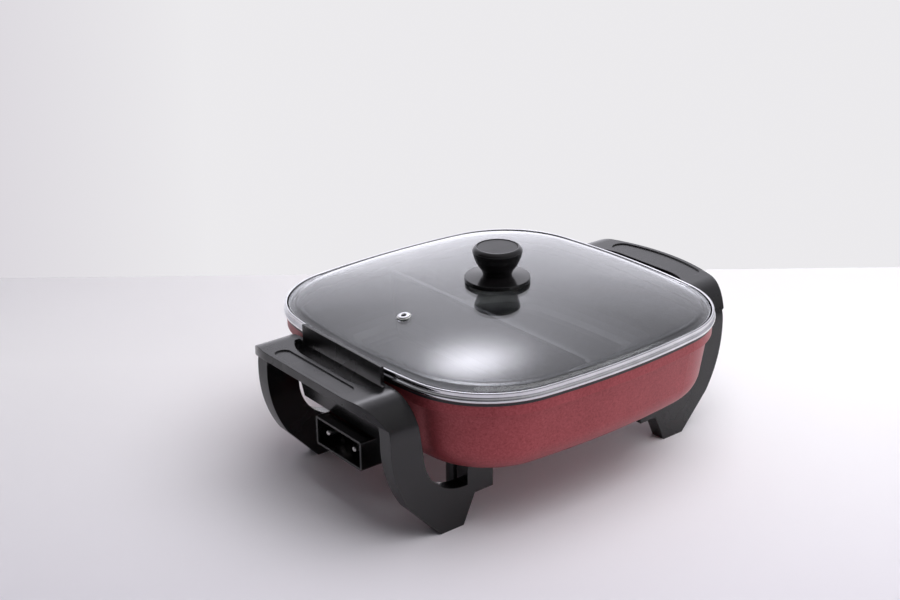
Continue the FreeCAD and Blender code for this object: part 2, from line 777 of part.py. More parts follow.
def build_bracket(label, turn, reach, flat, bow, has_lid_wall):
    """A handle bracket: grip, shoulders, two legs, back plate and screw towers."""
    body = new_body(label)
    half = cell.bracket_half_width
    side = new_sketch(body, "side", "XZ_Plane")
    draw_loop(side, turn(side_outline(reach)))
    new_feature(body, "Pad", "moulding", Profile=side, SideType="Symmetric", Length=half * 2)

    tunnel_half = half - cell.leg_thickness
    tunnel_top = cell.grip_top_level - cell.grip_thickness
    tunnel_radius = cell.shoulder_radius - cell.grip_thickness
    tunnel = new_sketch(body, "between_legs", "YZ_Plane")
    below = sized(-OVERRUN)
    draw_loop(tunnel, [(-tunnel_half, below), (tunnel_half, below),
                       (tunnel_half, tunnel_top - tunnel_radius),
                       (tunnel_half - tunnel_radius, tunnel_top, tunnel_radius),
                       (-tunnel_half + tunnel_radius, tunnel_top),
                       (-tunnel_half, tunnel_top - tunnel_radius, tunnel_radius)])
    new_feature(body, "Pocket", "leg_gap", Profile=tunnel, SideType="Symmetric",
                Length=reach * 3)

    shoulders = new_sketch(body, "shoulders", "YZ_Plane")
    radius = cell.shoulder_radius
    above = cell.grip_top_level + OVERRUN
    corner = [(half, cell.grip_top_level - radius), (half - radius, cell.grip_top_level, radius),
              (half - radius, above), (half + OVERRUN, above),
              (half + OVERRUN, cell.grip_top_level - radius)]
    draw_loop(shoulders, corner)
    draw_loop(shoulders, mirrored(corner))
    new_feature(body, "Pocket", "shoulder_rounds", Profile=shoulders, SideType="Symmetric",
                Length=reach * 3)

    edge = new_sketch(body, "grip_edge")
    draw_loop(edge, turn(plan_cut(reach, flat, bow)))
    draw_loop(edge, turn(turned_over(plan_cut(reach, flat, bow))))
    new_feature(body, "Pocket", "bowed_edge", Profile=edge, SideType="Symmetric",
                Length=cell.grip_top_level * 3)

    plate = new_sketch(body, "back_plate", "XZ_Plane")
    inner = cell.grip_inner_reach
    outer = inner + cell.back_plate_thickness
    draw_loop(plate, turn([(inner, cell.grip_top_level), (outer, cell.grip_top_level),
                           (outer, cell.back_plate_crease_level),
                           (cell.back_plate_belly_reach, cell.back_plate_belly_level),
                           (cell.back_plate_foot_reach + cell.back_plate_thickness,
                            cell.back_plate_foot_level),
                           (cell.back_plate_foot_reach, cell.back_plate_foot_level),
                           (inner, cell.back_plate_belly_level)]))
    hole = new_sketch(body, "finger_hole")
    draw_loop(hole, turn(finger_hole()))
    new_feature(body, "Pocket", "finger_opening", Profile=hole, SideType="Symmetric",
                Length=cell.grip_top_level * 3)
    new_feature(body, "Pad", "rear_plate", Profile=plate, SideType="Symmetric",
                Length=cell.back_plate_half * 2)

    recess = new_sketch(body, "thumb_recess", level=cell.grip_top_level - cell.thumb_recess_depth)
    draw_loop(recess, turn(thumb_recess(reach, flat, bow)))
    new_feature(body, "Pocket", "thumb_rest", Profile=recess, Reversed=True,
                Length=cell.thumb_recess_depth * 2)

    if has_lid_wall:
        wall = new_sketch(body, "lid_wall", level=cell.back_plate_crease_level)
        draw_loop(wall, turn(box_loop(inner, outer, -cell.lid_wall_half, cell.lid_wall_half)))
        new_feature(body, "Pad", "raised_wall", Profile=wall,
                    Length=cell.lid_wall_top_level - cell.back_plate_crease_level)

    towers = new_sketch(body, "towers", level=cell.heel_height)
    webs = new_sketch(body, "webs", level=cell.heel_height)
    web = cell.tower_web_half
    web_loop = box_loop(cell.tower_reach - web, cell.tower_reach + web,
                        cell.tower_offset, tunnel_half + OVERRUN)
    for flip in (list, turned_over):
        draw_loop(webs, turn(flip(web_loop)))
    across = turn([(cell.tower_reach, ZERO)])[0][0]
    for up in (-cell.tower_offset, cell.tower_offset):
        draw_circle(towers, across, up, cell.tower_radius)
    tower_height = tower_top - cell.heel_height
    new_feature(body, "Pad", "screw_towers", Profile=towers, Length=tower_height)
    new_feature(body, "Pad", "tower_webs", Profile=webs, Length=tower_height)
    bores = new_sketch(body, "bores", level=tower_top)
    wells = new_sketch(body, "wells", level=cell.bracket_counterbore_height)
    for up in (-cell.tower_offset, cell.tower_offset):
        draw_circle(bores, across, up, cell.bracket_screw_radius + cell.bracket_screw_clearance)
        draw_circle(wells, across, up, cell.bracket_counterbore_radius)
    new_feature(body, "Pocket", "screw_bores", Profile=bores, Length=tower_top)
    new_feature(body, "Pocket", "screw_wells", Profile=wells,
                Length=cell.bracket_counterbore_height)
    return body


def build_bracket_fasteners(prefix, turn):
    """Two screws from below and the insulating washers they clamp."""
    across = turn([(cell.tower_reach, ZERO)])[0][0]
    screws = new_body(f"{prefix}_bracket_screws")
    heads = new_sketch(screws, "heads", level=screw_head_top)
    shanks = new_sketch(screws, "shanks", level=screw_head_top)
    washers = new_body(f"{prefix}_insulating_washers")
    face = new_sketch(washers, "face", level=tower_top)
    for up in (-cell.tower_offset, cell.tower_offset):
        draw_circle(heads, across, up, cell.bracket_screw_head_radius)
        draw_circle(shanks, across, up, cell.bracket_screw_radius)
        draw_circle(face, across, up, cell.boss_radius)
        draw_circle(face, across, up, cell.bracket_screw_radius + cell.bracket_screw_clearance)
    new_feature(screws, "Pad", "pan_heads", Profile=heads, Reversed=True,
                Length=cell.bracket_screw_head_height)
    new_feature(screws, "Pad", "threads", Profile=shanks,
                Length=boss_bottom - screw_head_top + cell.bracket_screw_engagement)
    new_feature(washers, "Pad", "rings", Profile=face, Length=cell.insulator_thickness)
    return [screws, washers]


def dome_section(half):
    """An outline of the dome, which turns from square to round towards the top."""
    share = (cell.lid_half - half) / cell.lid_half
    side = half * (cell.glass_side_bow_share - share * cell.glass_side_bow_loss)
    corner = half * (cell.glass_corner_share + share * cell.glass_corner_gain)
    return bowed_square(half, (side, corner))


def dome_levels(drop):
    """Half widths and levels of the dome, lowered by the glass thickness inside."""
    steps = [(cell.glass_bend_half, cell.glass_bend_rise),
             (cell.glass_shoulder_half, cell.glass_shoulder_rise),
             (cell.glass_vent_half, cell.glass_vent_rise),
             (cell.glass_crown_half, cell.glass_crown_rise),
             (cell.glass_flat_half, cell.glass_rise)]
    return [(half, glass_top + rise - drop) for half, rise in steps]


def build_glass():
    body = new_body("lid_glass")
    flange = new_sketch(body, "flange", level=glass_bottom)
    draw_loop(flange, bowed_square(glass_half))
    new_feature(body, "Pad", "edge", Profile=flange, Length=cell.glass_thickness)
    opening = cell.lid_half - cell.lid_rim_width - cell.glass_edge_gap
    for name, kind, drop, half in (
            ("dome", "AdditiveLoft", ZERO, opening),
            ("hollow", "SubtractiveLoft", cell.glass_thickness, opening - cell.glass_hollow_inset)):
        foot = new_sketch(body, f"{name}_foot", level=glass_top - drop)
        draw_loop(foot, dome_section(half))
        sections = []
        for index, (section_half, level) in enumerate(dome_levels(drop)):
            section = new_sketch(body, f"{name}_{index}", level=level)
            draw_loop(section, dome_section(section_half))
            sections.append(section)
        new_feature(body, kind, name, Profile=foot, Sections=sections, Ruled=False)
    hole = new_sketch(body, "knob_hole", level=glass_apex)
    draw_circle(hole, ZERO, ZERO, cell.knob_hole_radius)
    draw_circle(hole, -cell.glass_vent_half, ZERO, cell.vent_hole_radius)
    new_feature(body, "Pocket", "holes", Profile=hole, SideType="Symmetric",
                Length=cell.glass_rise * 4)
    return body


def build_rim():
    body = new_body("lid_rim")
    band = new_sketch(body, "band", level=lid_seat)
    draw_loop(band, bowed_square(cell.lid_half))
    solid = new_feature(body, "Pad", "channel", Profile=band, Length=cell.lid_rim_height)

    new_feature(body, "Fillet", "rolled_edges", Base=(solid, edges_where(solid, is_level)),
                Radius=cell.lid_rim_edge_radius)
    skirt_outer = ledge_half - cell.lid_skirt_clearance
    skirt_inner = skirt_outer - cell.lid_skirt_thickness
    skirt = new_sketch(body, "skirt", level=lid_seat - cell.lid_skirt_depth)
    draw_loop(skirt, bowed_square(skirt_outer))
    new_feature(body, "Pad", "locating_skirt", Profile=skirt,
                Length=cell.lid_skirt_depth + cell.lid_rim_wall)
    throat = new_sketch(body, "throat", level=lid_seat)
    draw_loop(throat, bowed_square(skirt_inner))
    new_feature(body, "Pocket", "lower_opening", Profile=throat, SideType="Symmetric",
                Length=cell.lid_rim_height * 2)
    mouth = new_sketch(body, "mouth", level=glass_bottom)
    draw_loop(mouth, bowed_square(lid_rim_inner))
    new_feature(body, "Pocket", "upper_opening", Profile=mouth, Reversed=True,
                Length=cell.lid_rim_height)
    slot = new_sketch(body, "slot", level=glass_bottom - cell.glass_edge_gap)
    draw_loop(slot, bowed_square(glass_half + cell.glass_edge_gap))
    new_feature(body, "Pocket", "glass_slot", Profile=slot, Reversed=True,
                Length=cell.glass_thickness + cell.glass_edge_gap * 2)
    return body


def build_vent():
    top = cell.vent_washer_thickness
    flange = cell.vent_flange_thickness
    bottom = -cell.glass_thickness - cell.vent_flange_gap
    eyelet = turned("vent_eyelet", [
        (cell.vent_bore_radius, bottom - flange), (cell.vent_flange_radius, bottom - flange),
        (cell.vent_flange_radius, bottom), (cell.vent_barrel_radius, bottom),
        (cell.vent_barrel_radius, top), (cell.vent_flange_radius, top),
        (cell.vent_flange_radius - flange, top + flange, cell.vent_flange_round),
        (cell.vent_bore_radius + flange, top + flange),
        (cell.vent_bore_radius, top, cell.vent_flange_round)])
    washer = turned("vent_washer", washer_profile(
        cell.vent_barrel_radius + cell.vent_barrel_gap, cell.vent_washer_radius,
        cell.vent_seat_gap, top))
    tilt = FreeCAD.Rotation(FreeCAD.Vector(0, -1, 0), cell.vent_tilt.number)
    for piece in (eyelet, washer):
        place = FreeCAD.Vector(-cell.glass_vent_half.number, 0, vent_surface.number)
        piece.Placement = FreeCAD.Placement(place, tilt)
        piece.setExpression(".Placement.Rotation.Angle", cell.vent_tilt.formula)
        piece.setExpression(".Placement.Base.z", vent_surface.formula)
    return [eyelet, washer]


def build_knob():
    seat = knob_seat
    waist = knob_waist_level
    screw_gap = cell.knob_screw_radius + cell.knob_screw_clearance
    base = turned("knob_base", [
        (screw_gap, seat), (cell.knob_base_radius, seat),
        (cell.knob_base_radius, seat + cell.knob_base_edge),
        (cell.knob_waist_radius, waist), (screw_gap, waist)])
    bowl = waist + cell.knob_neck_rise
    shoulder = bowl + cell.knob_bowl_rise
    top = waist + cell.knob_height
    cap_wall = cell.knob_cap_radius + cell.knob_cap_gap
    cap_seat = top - cell.knob_cap_thickness - cell.knob_cap_sink
    insert_top = waist + cell.knob_insert_length
    grip = turned("knob_grip", [
        (cell.knob_insert_radius, waist), (cell.knob_waist_radius, waist),
        (cell.knob_neck_radius, bowl),
        (cell.knob_bowl_radius, shoulder, cell.knob_bowl_arc),
        (cap_wall + cell.knob_lip, top, cell.knob_edge_arc), (cap_wall, top), (cap_wall, cap_seat),
        (ZERO, cap_seat), (ZERO, insert_top), (cell.knob_insert_radius, insert_top)])
    cap = turned("knob_cap", [
        (ZERO, cap_seat), (cell.knob_cap_radius, cap_seat),
        (cell.knob_cap_radius, cap_seat + cell.knob_cap_thickness - cell.knob_cap_edge),
        (cell.knob_cap_radius - cell.knob_cap_edge, cap_seat + cell.knob_cap_thickness,
         cell.knob_cap_edge),
        (ZERO, cap_seat + cell.knob_cap_thickness)])
    insert = turned("knob_insert", washer_profile(
        cell.knob_screw_radius, cell.knob_insert_radius, waist, insert_top))
    gasket = turned("knob_gasket", washer_profile(
        cell.knob_hole_radius, cell.glass_flat_half, glass_apex, seat))
    washer = turned("knob_washer", washer_profile(
        screw_gap, cell.knob_washer_radius,
        glass_apex_under - cell.knob_washer_thickness, glass_apex_under))
    head_top = glass_apex_under - cell.knob_washer_thickness
    head_bottom = head_top - cell.knob_screw_head_height
    screw_end = insert_top - cell.knob_screw_end_gap
    screw = turned("knob_screw", [
        (ZERO, head_bottom),
        (cell.knob_screw_head_radius, head_top - cell.knob_screw_head_edge,
         cell.knob_screw_head_arc),
        (cell.knob_screw_head_radius, head_top), (cell.knob_screw_radius, head_top),
        (cell.knob_screw_radius, screw_end), (ZERO, screw_end)])
    return [base, grip, cap, insert, gasket, washer, screw]


def build_all():
    pieces = [build_pan(), build_element()]
    pieces += build_terminals()
    pieces += build_shroud()
    pieces.append(build_bracket("socket_bracket", mirrored, cell.socket_grip_reach,
                                cell.socket_grip_flat, cell.socket_grip_bow, True))
    pieces.append(build_bracket("opposite_bracket", list, cell.opposite_grip_reach,
                                cell.opposite_grip_flat, cell.opposite_grip_bow, False))
    pieces += build_bracket_fasteners("socket", mirrored)
    pieces += build_bracket_fasteners("opposite", list)
    pieces += [build_glass(), build_rim()]
    pieces += build_vent()
    pieces += build_knob()
    return pieces


def centre_pieces(pieces):
    """Move every piece so that the origin is under the middle of the object."""
    shift = (cell.socket_grip_reach - cell.opposite_grip_reach) / 2
    for piece in pieces:
        start = sized(piece.Placement.Base.x)
        if piece.Label in ("vent_eyelet", "vent_washer"):
            start = -cell.glass_vent_half
        place = shift + start
        piece.Placement.Base.x = place.number
        piece.setExpression(".Placement.Base.x", place.formula)
    doc.recompute()


def check_and_write(pieces):
    for item in doc.Objects:
        if "Invalid" in item.State or "Error" in item.State:
            raise RuntimeError(f"{item.Label}: {item.State}")
    os.makedirs("parts", exist_ok=True)
    for piece in pieces:
        if piece.Shape.isNull() or not piece.Shape.isValid():
            raise RuntimeError(f"{piece.Label} has no valid shape")
    for piece in pieces:
        box = piece.Shape.BoundBox
        print(f"{piece.Label}: {len(piece.Shape.Solids)} solids, {piece.Shape.Volume:.0f} mm3, "
              f"X {box.XMin:.1f} {box.XMax:.1f} Y {box.YMin:.1f} {box.YMax:.1f} "
              f"Z {box.ZMin:.1f} {box.ZMax:.1f}")
        piece.Shape.exportStep(f"parts/{piece.Label}.step")


pieces = build_all()
centre_pieces(pieces)
check_and_write(pieces)
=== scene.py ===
# %% [markdown]
# # An electric skillet with a glass lid
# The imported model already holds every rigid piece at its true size. This script
# dresses it: each surface gets a finish made of nodes, the pieces that light
# would give away as plain solids are made again in fine mesh, and a camera and
# soft lamps show it standing on a pale table.
#
# The model is loaded as a fixed frame. Nothing in it is moved, so a piece made
# here takes its place from the box of the node it belongs to.

# %% Load the frame
import json
import math

import bmesh
import bpy
from mathutils import Matrix, Vector


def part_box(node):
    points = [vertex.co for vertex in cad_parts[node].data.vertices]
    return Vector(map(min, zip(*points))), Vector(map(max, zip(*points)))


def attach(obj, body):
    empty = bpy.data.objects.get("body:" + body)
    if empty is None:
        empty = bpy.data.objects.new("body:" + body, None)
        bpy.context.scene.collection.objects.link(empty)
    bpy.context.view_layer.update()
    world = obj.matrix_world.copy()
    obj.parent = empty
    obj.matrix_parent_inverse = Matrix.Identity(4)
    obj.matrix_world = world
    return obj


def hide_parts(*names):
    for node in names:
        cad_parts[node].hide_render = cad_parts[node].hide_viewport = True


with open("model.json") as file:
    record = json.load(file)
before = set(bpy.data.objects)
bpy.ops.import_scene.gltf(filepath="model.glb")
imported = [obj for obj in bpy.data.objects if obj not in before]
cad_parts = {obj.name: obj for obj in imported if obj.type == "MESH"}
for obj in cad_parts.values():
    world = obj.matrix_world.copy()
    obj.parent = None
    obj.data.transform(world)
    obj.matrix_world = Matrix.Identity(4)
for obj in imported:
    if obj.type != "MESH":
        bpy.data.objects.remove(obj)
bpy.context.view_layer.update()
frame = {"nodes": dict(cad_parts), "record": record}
nodes = frame["nodes"]
MM = 0.001
print("nodes:", len(nodes))

# %% [markdown]
# ## Places that the rest of the scene is worked out from
# The lid's rim is a square in plan, so the middle of its box is the middle of
# the pan, the glass and every pattern. The two handle brackets differ by a few
# millimetres, which puts that middle slightly to one side of the origin.

# %% Measure the frame
def corners_of(name):
    """The low and high corners of a node's box."""
    low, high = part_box(name)
    return Vector(low), Vector(high)


def add_object(name, data):
    made = bpy.data.objects.new(name, data)
    bpy.context.scene.collection.objects.link(made)
    return made


rim_low, rim_high = corners_of("lid_rim")
PAN_MIDDLE = (rim_low + rim_high) / 2
LID_HALF = (rim_high.y - rim_low.y) / 2
RIM_TOP = rim_high.z
print("pan middle", PAN_MIDDLE.x, PAN_MIDDLE.y, "lid half", LID_HALF)

# %% [markdown]
# ## A small kit for node materials
# A finish is a chain of a few nodes: where a point is on the piece, a noise read
# at that point, and a colour, a roughness or a bump worked out from the noise.
# Writing each chain out in full hides the idea, so a small class keeps the tree
# and lets one line add one node.

# %% Define the material kit
class Finish:
    """A material whose nodes are added one line at a time."""

    def __init__(self, name):
        self.material = bpy.data.materials.new(name)
        self.material.use_nodes = True
        self.tree = self.material.node_tree
        self.shader = self.tree.nodes["Principled BSDF"]
        self.place = self.tree.nodes.new("ShaderNodeTexCoord").outputs["Object"]

    def set(self, **sockets):
        for name, value in sockets.items():
            self.feed(self.shader.inputs[name.replace("_", " ")], value)
        return self

    def feed(self, socket, value):
        if isinstance(value, bpy.types.NodeSocket):
            self.tree.links.new(value, socket)
        elif isinstance(value, tuple) and len(value) == 3 and socket.type == "RGBA":
            socket.default_value = (*value, 1.0)
        else:
            socket.default_value = value

    def node(self, kind, out=0, settings=None, **inputs):
        """Adds a node. An input is given by its name, or as _0, _1 by its number."""
        made = self.tree.nodes.new("ShaderNode" + kind)
        for name, value in (settings or {}).items():
            setattr(made, name, value)
        for name, value in inputs.items():
            if name.startswith("_"):
                socket = made.inputs[int(name[1:])]
            else:
                socket = made.inputs[name.replace("_", " ")]
            self.feed(socket, value)
        return made.outputs[out]

    def math(self, operation, first, second=0.0, third=0.0):
        settings = {"operation": operation}
        return self.node("Math", settings=settings, _0=first, _1=second, _2=third)

    def along(self, direction):
        """How far a point lies along a direction."""
        settings = {"operation": "DOT_PRODUCT"}
        return self.node("VectorMath", out=1, settings=settings,
                         _0=self.place, _1=tuple(direction))

    def ramp(self, value, low, high, start=0.0, end=1.0):
        return self.node("MapRange", Value=value, From_Min=low, From_Max=high,
                         To_Min=start, To_Max=end)

    def noise(self, size, detail=4.0, roughness=0.55, place=None):
        """A cloudy pattern whose patches are about size metres across."""
        return self.node("TexNoise", Vector=place or self.place, Scale=1.0 / size,
                         Detail=detail, Roughness=roughness)

    def mix(self, share, first, second):
        settings = {"data_type": "RGBA"}
        return self.node("Mix", out=2, settings=settings, _0=share, _6=first, _7=second)

    def bump(self, *layers, start=None):
        """Stacks (height, depth in metres) layers into one normal."""
        normal = start
        for height, depth in layers:
            inputs = {"Height": height, "Distance": depth}
            if normal is not None:
                inputs["Normal"] = normal
            normal = self.node("Bump", **inputs)
        return self.set(Normal=normal)


print("material kit ready")

# %% [markdown]
# ## Burgundy enamel outside, dark coating inside
# The casting is sprayed twice. Outside it is a metallic burgundy with a fine
# mottle, like leather grain, and inside it is a dark non-stick coating that
# comes up over the rim. Both are on one node, so one material holds the two
# and tells them apart by the surface itself: on the outside of a bowl the
# normal points away from the middle, and on the inside it points towards it.
# The divider's two faces would pass that test by mistake, so a band round the
# middle is left out of it.

# %% Make the casting's two coatings
RIM_LINE_LEVEL = RIM_TOP - 11.6 * MM
STEP_LEVEL = RIM_TOP - 20.0 * MM
STEP_BAND = 0.7 * MM
UNDERSIDE_LEVEL = 56.0 * MM
DIVIDER_REACH = 40.0 * MM
ENAMEL_DEEP, ENAMEL_BRIGHT = (0.215, 0.028, 0.034), (0.440, 0.088, 0.098)
COATING_DARK, COATING_WORN = (0.010, 0.010, 0.011), (0.024, 0.024, 0.026)
COATING_ROUGHNESS = (0.42, 0.42, 0.42)


def outer_side(finish, spot, level):
    """One where a point is on the casting's outside, nought on its inside."""
    normal = finish.node("NewGeometry", out=1)
    facing = finish.node("SeparateXYZ", Vector=normal).node.outputs
    outward = finish.math("MULTIPLY", spot[0], facing[0])
    outward = finish.math("MULTIPLY_ADD", spot[1], facing[1], outward)
    is_outward = finish.math("GREATER_THAN", outward, 0.01)
    reach = finish.math("ABSOLUTE", spot[0])
    faces_along = finish.math("GREATER_THAN", finish.math("ABSOLUTE", facing[0]),
                              finish.math("ABSOLUTE", facing[1]))
    near_divider = finish.math("LESS_THAN", reach, DIVIDER_REACH)
    on_divider = finish.math("MULTIPLY", near_divider, faces_along)
    off_divider = finish.math("SUBTRACT", 1.0, on_divider)
    below_line = finish.math("LESS_THAN", level, RIM_LINE_LEVEL)
    outside = finish.math("MULTIPLY", off_divider, is_outward)
    outside = finish.math("MULTIPLY", outside, below_line)
    under = finish.math("LESS_THAN", level, UNDERSIDE_LEVEL)
    return finish.math("MAXIMUM", outside, under)


def casting_coatings():
    finish = Finish("burgundy_enamel")
    from_middle = finish.node("VectorMath", settings={"operation": "SUBTRACT"},
                              _0=finish.place, _1=tuple(PAN_MIDDLE))
    spot = finish.node("SeparateXYZ", Vector=from_middle).node.outputs
    level = finish.math("ADD", spot[2], PAN_MIDDLE.z)
    outside = outer_side(finish, spot, level)

    warped = finish.node("TexNoise", out=1, Vector=finish.place, Scale=1.0 / (7.0 * MM))
    swirl = finish.node("VectorMath", settings={"operation": "MULTIPLY_ADD"},
                        _0=warped, _1=(6.0 * MM,) * 3, _2=finish.place)
    mottle = finish.noise(1.7 * MM, detail=4.0, roughness=0.65, place=swirl)
    cloud = finish.noise(38.0 * MM, detail=2.0)
    flake = finish.node("TexVoronoi", Vector=finish.place, Scale=1.0 / (0.5 * MM))
    share = finish.math("MULTIPLY_ADD", mottle, 0.9, -0.05)
    share = finish.math("MULTIPLY_ADD", cloud, 0.25, share)
    red = finish.mix(finish.ramp(share, 0.30, 0.80), ENAMEL_DEEP, ENAMEL_BRIGHT)
    grain = finish.noise(1.1 * MM, detail=2.0)
    dark = finish.mix(finish.ramp(grain, 0.35, 0.7), COATING_DARK, COATING_WORN)
    red_gloss = finish.ramp(mottle, 0.3, 0.7, 0.36, 0.46)
    finish.set(Base_Color=finish.mix(outside, dark, red),
               Metallic=finish.math("MULTIPLY", outside, 0.45),
               Roughness=finish.mix(outside, COATING_ROUGHNESS, red_gloss))
    step = finish.ramp(level, STEP_LEVEL - STEP_BAND, STEP_LEVEL + STEP_BAND)
    finish.bump((mottle, 0.12 * MM), (flake, 0.012 * MM), (step, 0.55 * MM))
    return finish.material


burgundy = casting_coatings()
print("made", burgundy.name)

# %% [markdown]
# ## Black moulded resin
# The brackets, the shroud and the knob are phenolic resin. It comes out of the mould satin
# black, never a flat black: there is a faint waviness that breaks up its highlights, and fine
# dust and handling marks that change its roughness. Its edges are painted paler, partly as
# rubbed wear and partly as a painted highlight where the rounded edges catch the light. The
# Bevel node finds those edges.

# %% Make the moulded resin
RESIN_DEEP, RESIN_PALE = (0.0030, 0.0028, 0.0031), (0.0060, 0.0055, 0.0060)
RESIN_RUBBED_AND_SHEEN = (0.024, 0.023, 0.025)
RESIN_EDGE = 0.8 * MM


def moulded_resin(name, roughness, waviness):
    finish = Finish(name)
    cloud = finish.noise(45.0 * MM, detail=5.0)
    dust = finish.noise(1.4 * MM, detail=2.0)
    colour = finish.mix(finish.ramp(cloud, 0.3, 0.7), RESIN_DEEP, RESIN_PALE)
    rounded = finish.node("Bevel", settings={"samples": 4}, Radius=RESIN_EDGE)
    straight = finish.node("NewGeometry", out=1)
    match = finish.node("VectorMath", out=1, settings={"operation": "DOT_PRODUCT"},
                        _0=rounded, _1=straight)
    # rubbed wear and painted highlight: edges where the Bevel normal turns away get a paler
    # colour, in patches
    worn_and_sheen = finish.math("MULTIPLY", finish.ramp(match, 0.995, 0.93),
                       finish.ramp(dust, 0.35, 0.65))
    finish.set(Base_Color=finish.mix(worn_and_sheen, colour, RESIN_RUBBED_AND_SHEEN),
               Roughness=finish.ramp(cloud, 0.3, 0.7, roughness - 0.04, roughness + 0.06))
    waves = finish.noise(9.0 * MM, detail=1.0)
    finish.bump((waves, waviness), (dust, 0.012 * MM), start=rounded)
    return finish.material


black_resin = moulded_resin("black_bakelite", 0.24, 0.05 * MM)
gloss_resin = moulded_resin("knob_resin", 0.12, 0.02 * MM)
satin_resin = moulded_resin("cap_resin", 0.42, 0.03 * MM)
print("made", black_resin.name, gloss_resin.name, satin_resin.name)

# %% [markdown]
# ## Glass, steel and the small parts
# Tempered lid glass is clear with a faint grey, and nearly all that is seen of
# it is what it reflects. Polished steel is bright with a few smudges, and
# plated steel is duller. Ceramic, silicone and mica board are matt, each with
# its own grain.

# %% Make glass, metals and matt finishes
def lid_glass():
    finish = Finish("tempered_glass")
    haze = finish.noise(50.0 * MM, detail=3.0)
    finish.set(Base_Color=(0.84, 0.86, 0.87), IOR=1.52, Transmission_Weight=1.0)
    finish.set(Roughness=finish.ramp(haze, 0.3, 0.7, 0.0, 0.035))
    finish.bump((finish.noise(70.0 * MM, detail=0.0), 0.04 * MM))
    return finish.material


def metal(name, colour, roughness, scratch, spread=0.08):
    finish = Finish(name)
    lines = finish.noise(scratch, detail=6.0, roughness=0.7)
    smudge = finish.noise(14.0 * MM, detail=3.0)
    dull = tuple(part * 0.82 for part in colour)
    finish.set(Metallic=1.0, Base_Color=finish.mix(finish.ramp(smudge, 0.3, 0.7), dull, colour))
    finish.set(Roughness=finish.ramp(lines, 0.3, 0.7, roughness, roughness + spread))
    finish.bump((lines, 0.006 * MM))
    return finish.material


def matt(name, low, high, size, roughness, depth):
    finish = Finish(name)
    grain = finish.noise(size, detail=4.0)
    finish.set(Base_Color=finish.mix(finish.ramp(grain, 0.35, 0.65), low, high))
    finish.set(Roughness=finish.ramp(grain, 0.3, 0.7, roughness, roughness + 0.12))
    finish.bump((grain, depth))
    return finish.material


polished_steel = metal("polished_steel", (0.78, 0.78, 0.80), 0.10, 2.2 * MM)
plated_steel = metal("plated_steel", (0.66, 0.65, 0.63), 0.26, 0.9 * MM, 0.16)
FINISHES = {
    "burgundy_enamel": burgundy,
    "black_bakelite": black_resin,
    "tempered_glass": lid_glass(),
    "polished_steel": polished_steel,
    "plated_steel": plated_steel,
    "brass": metal("brass", (0.72, 0.55, 0.26), 0.28, 1.0 * MM, 0.14),
    "white_ceramic": matt("white_ceramic", (0.72, 0.70, 0.64), (0.82, 0.80, 0.75),
                          1.2 * MM, 0.45, 0.03 * MM),
    "silicone": matt("silicone", (0.62, 0.62, 0.60), (0.72, 0.72, 0.70),
                     2.0 * MM, 0.50, 0.02 * MM),
    "mica_board": matt("mica_board", (0.32, 0.29, 0.23), (0.50, 0.46, 0.38),
                       2.5 * MM, 0.55, 0.06 * MM),
}
print("finishes:", sorted(FINISHES))

# %% [markdown]
# ## Dress the frame
# Each node's record names a slot, and the slot names a finish. The knob is the
# one exception: it is polished more than the brackets are, and its cap less.

# %% Put the finishes on the frame's nodes
slot_of = {part["node"]: part["material_slot"] for part in frame["record"]["subparts"]}
for name, node in nodes.items():
    finish = FINISHES[slot_of[name]]
    if name.startswith("knob_") and finish is black_resin:
        finish = satin_resin if name == "knob_cap" else gloss_resin
    node.data.materials.clear()
    node.data.materials.append(finish)
print("dressed", len(nodes), "nodes")

# %% [markdown]
# ## A square with bowed sides
# The lid and its rim follow one outline: four shallow arcs joined by four
# tighter ones that meet them smoothly. Where two circles touch, their centres
# and the meeting point lie on one line, which is all that is needed to find the
# joints. The same function gives the rim's path and every ring of the dome.

# %% Write the outline as arcs
SIDE_RADIUS = 643.4 * MM
CORNER_RADIUS = 78.3 * MM
SIDE_STEPS, CORNER_STEPS = 20, 16


def bowed_ring(half, level, side=None, corner=None):
    """Points of a bowed square, anticlockwise, round the middle of the pan."""
    inset = LID_HALF - half
    side = side or SIDE_RADIUS - inset
    corner = corner or CORNER_RADIUS - inset
    back, span = side - half, side - corner
    centre = (math.sqrt(2 * span ** 2 - back ** 2) - back) / 2
    joint = math.asin(centre / span)
    arcs = ((-back, 0.0, side, -joint, joint, SIDE_STEPS),
            (centre, centre, corner, joint, math.pi / 2 - joint, CORNER_STEPS))
    quarter = []
    for middle_x, middle_y, radius, start, end, steps in arcs:
        for step in range(steps):
            angle = start + (end - start) * step / steps
            quarter.append(Vector((middle_x + radius * math.cos(angle),
                                   middle_y + radius * math.sin(angle), 0.0)))
    middle = Vector((PAN_MIDDLE.x, PAN_MIDDLE.y, level))
    return [middle + Matrix.Rotation(turn * math.pi / 2, 3, "Z") @ point
            for turn in range(4) for point in quarter]


print("points in a ring:", len(bowed_ring(LID_HALF, 0.0)))

# %% [markdown]
# ## The domed glass
# A glass lid is pressed from flat sheet, so it is one smooth skin of even
# thickness. It leaves the rim in a short steep bend and then rises gently, and
# its rings turn from the rim's square to a circle under the knob. A dome is
# mostly seen by what it mirrors, so it is built from many rings whose heights
# follow one formula. Flat bands between a few rings would break the reflection.

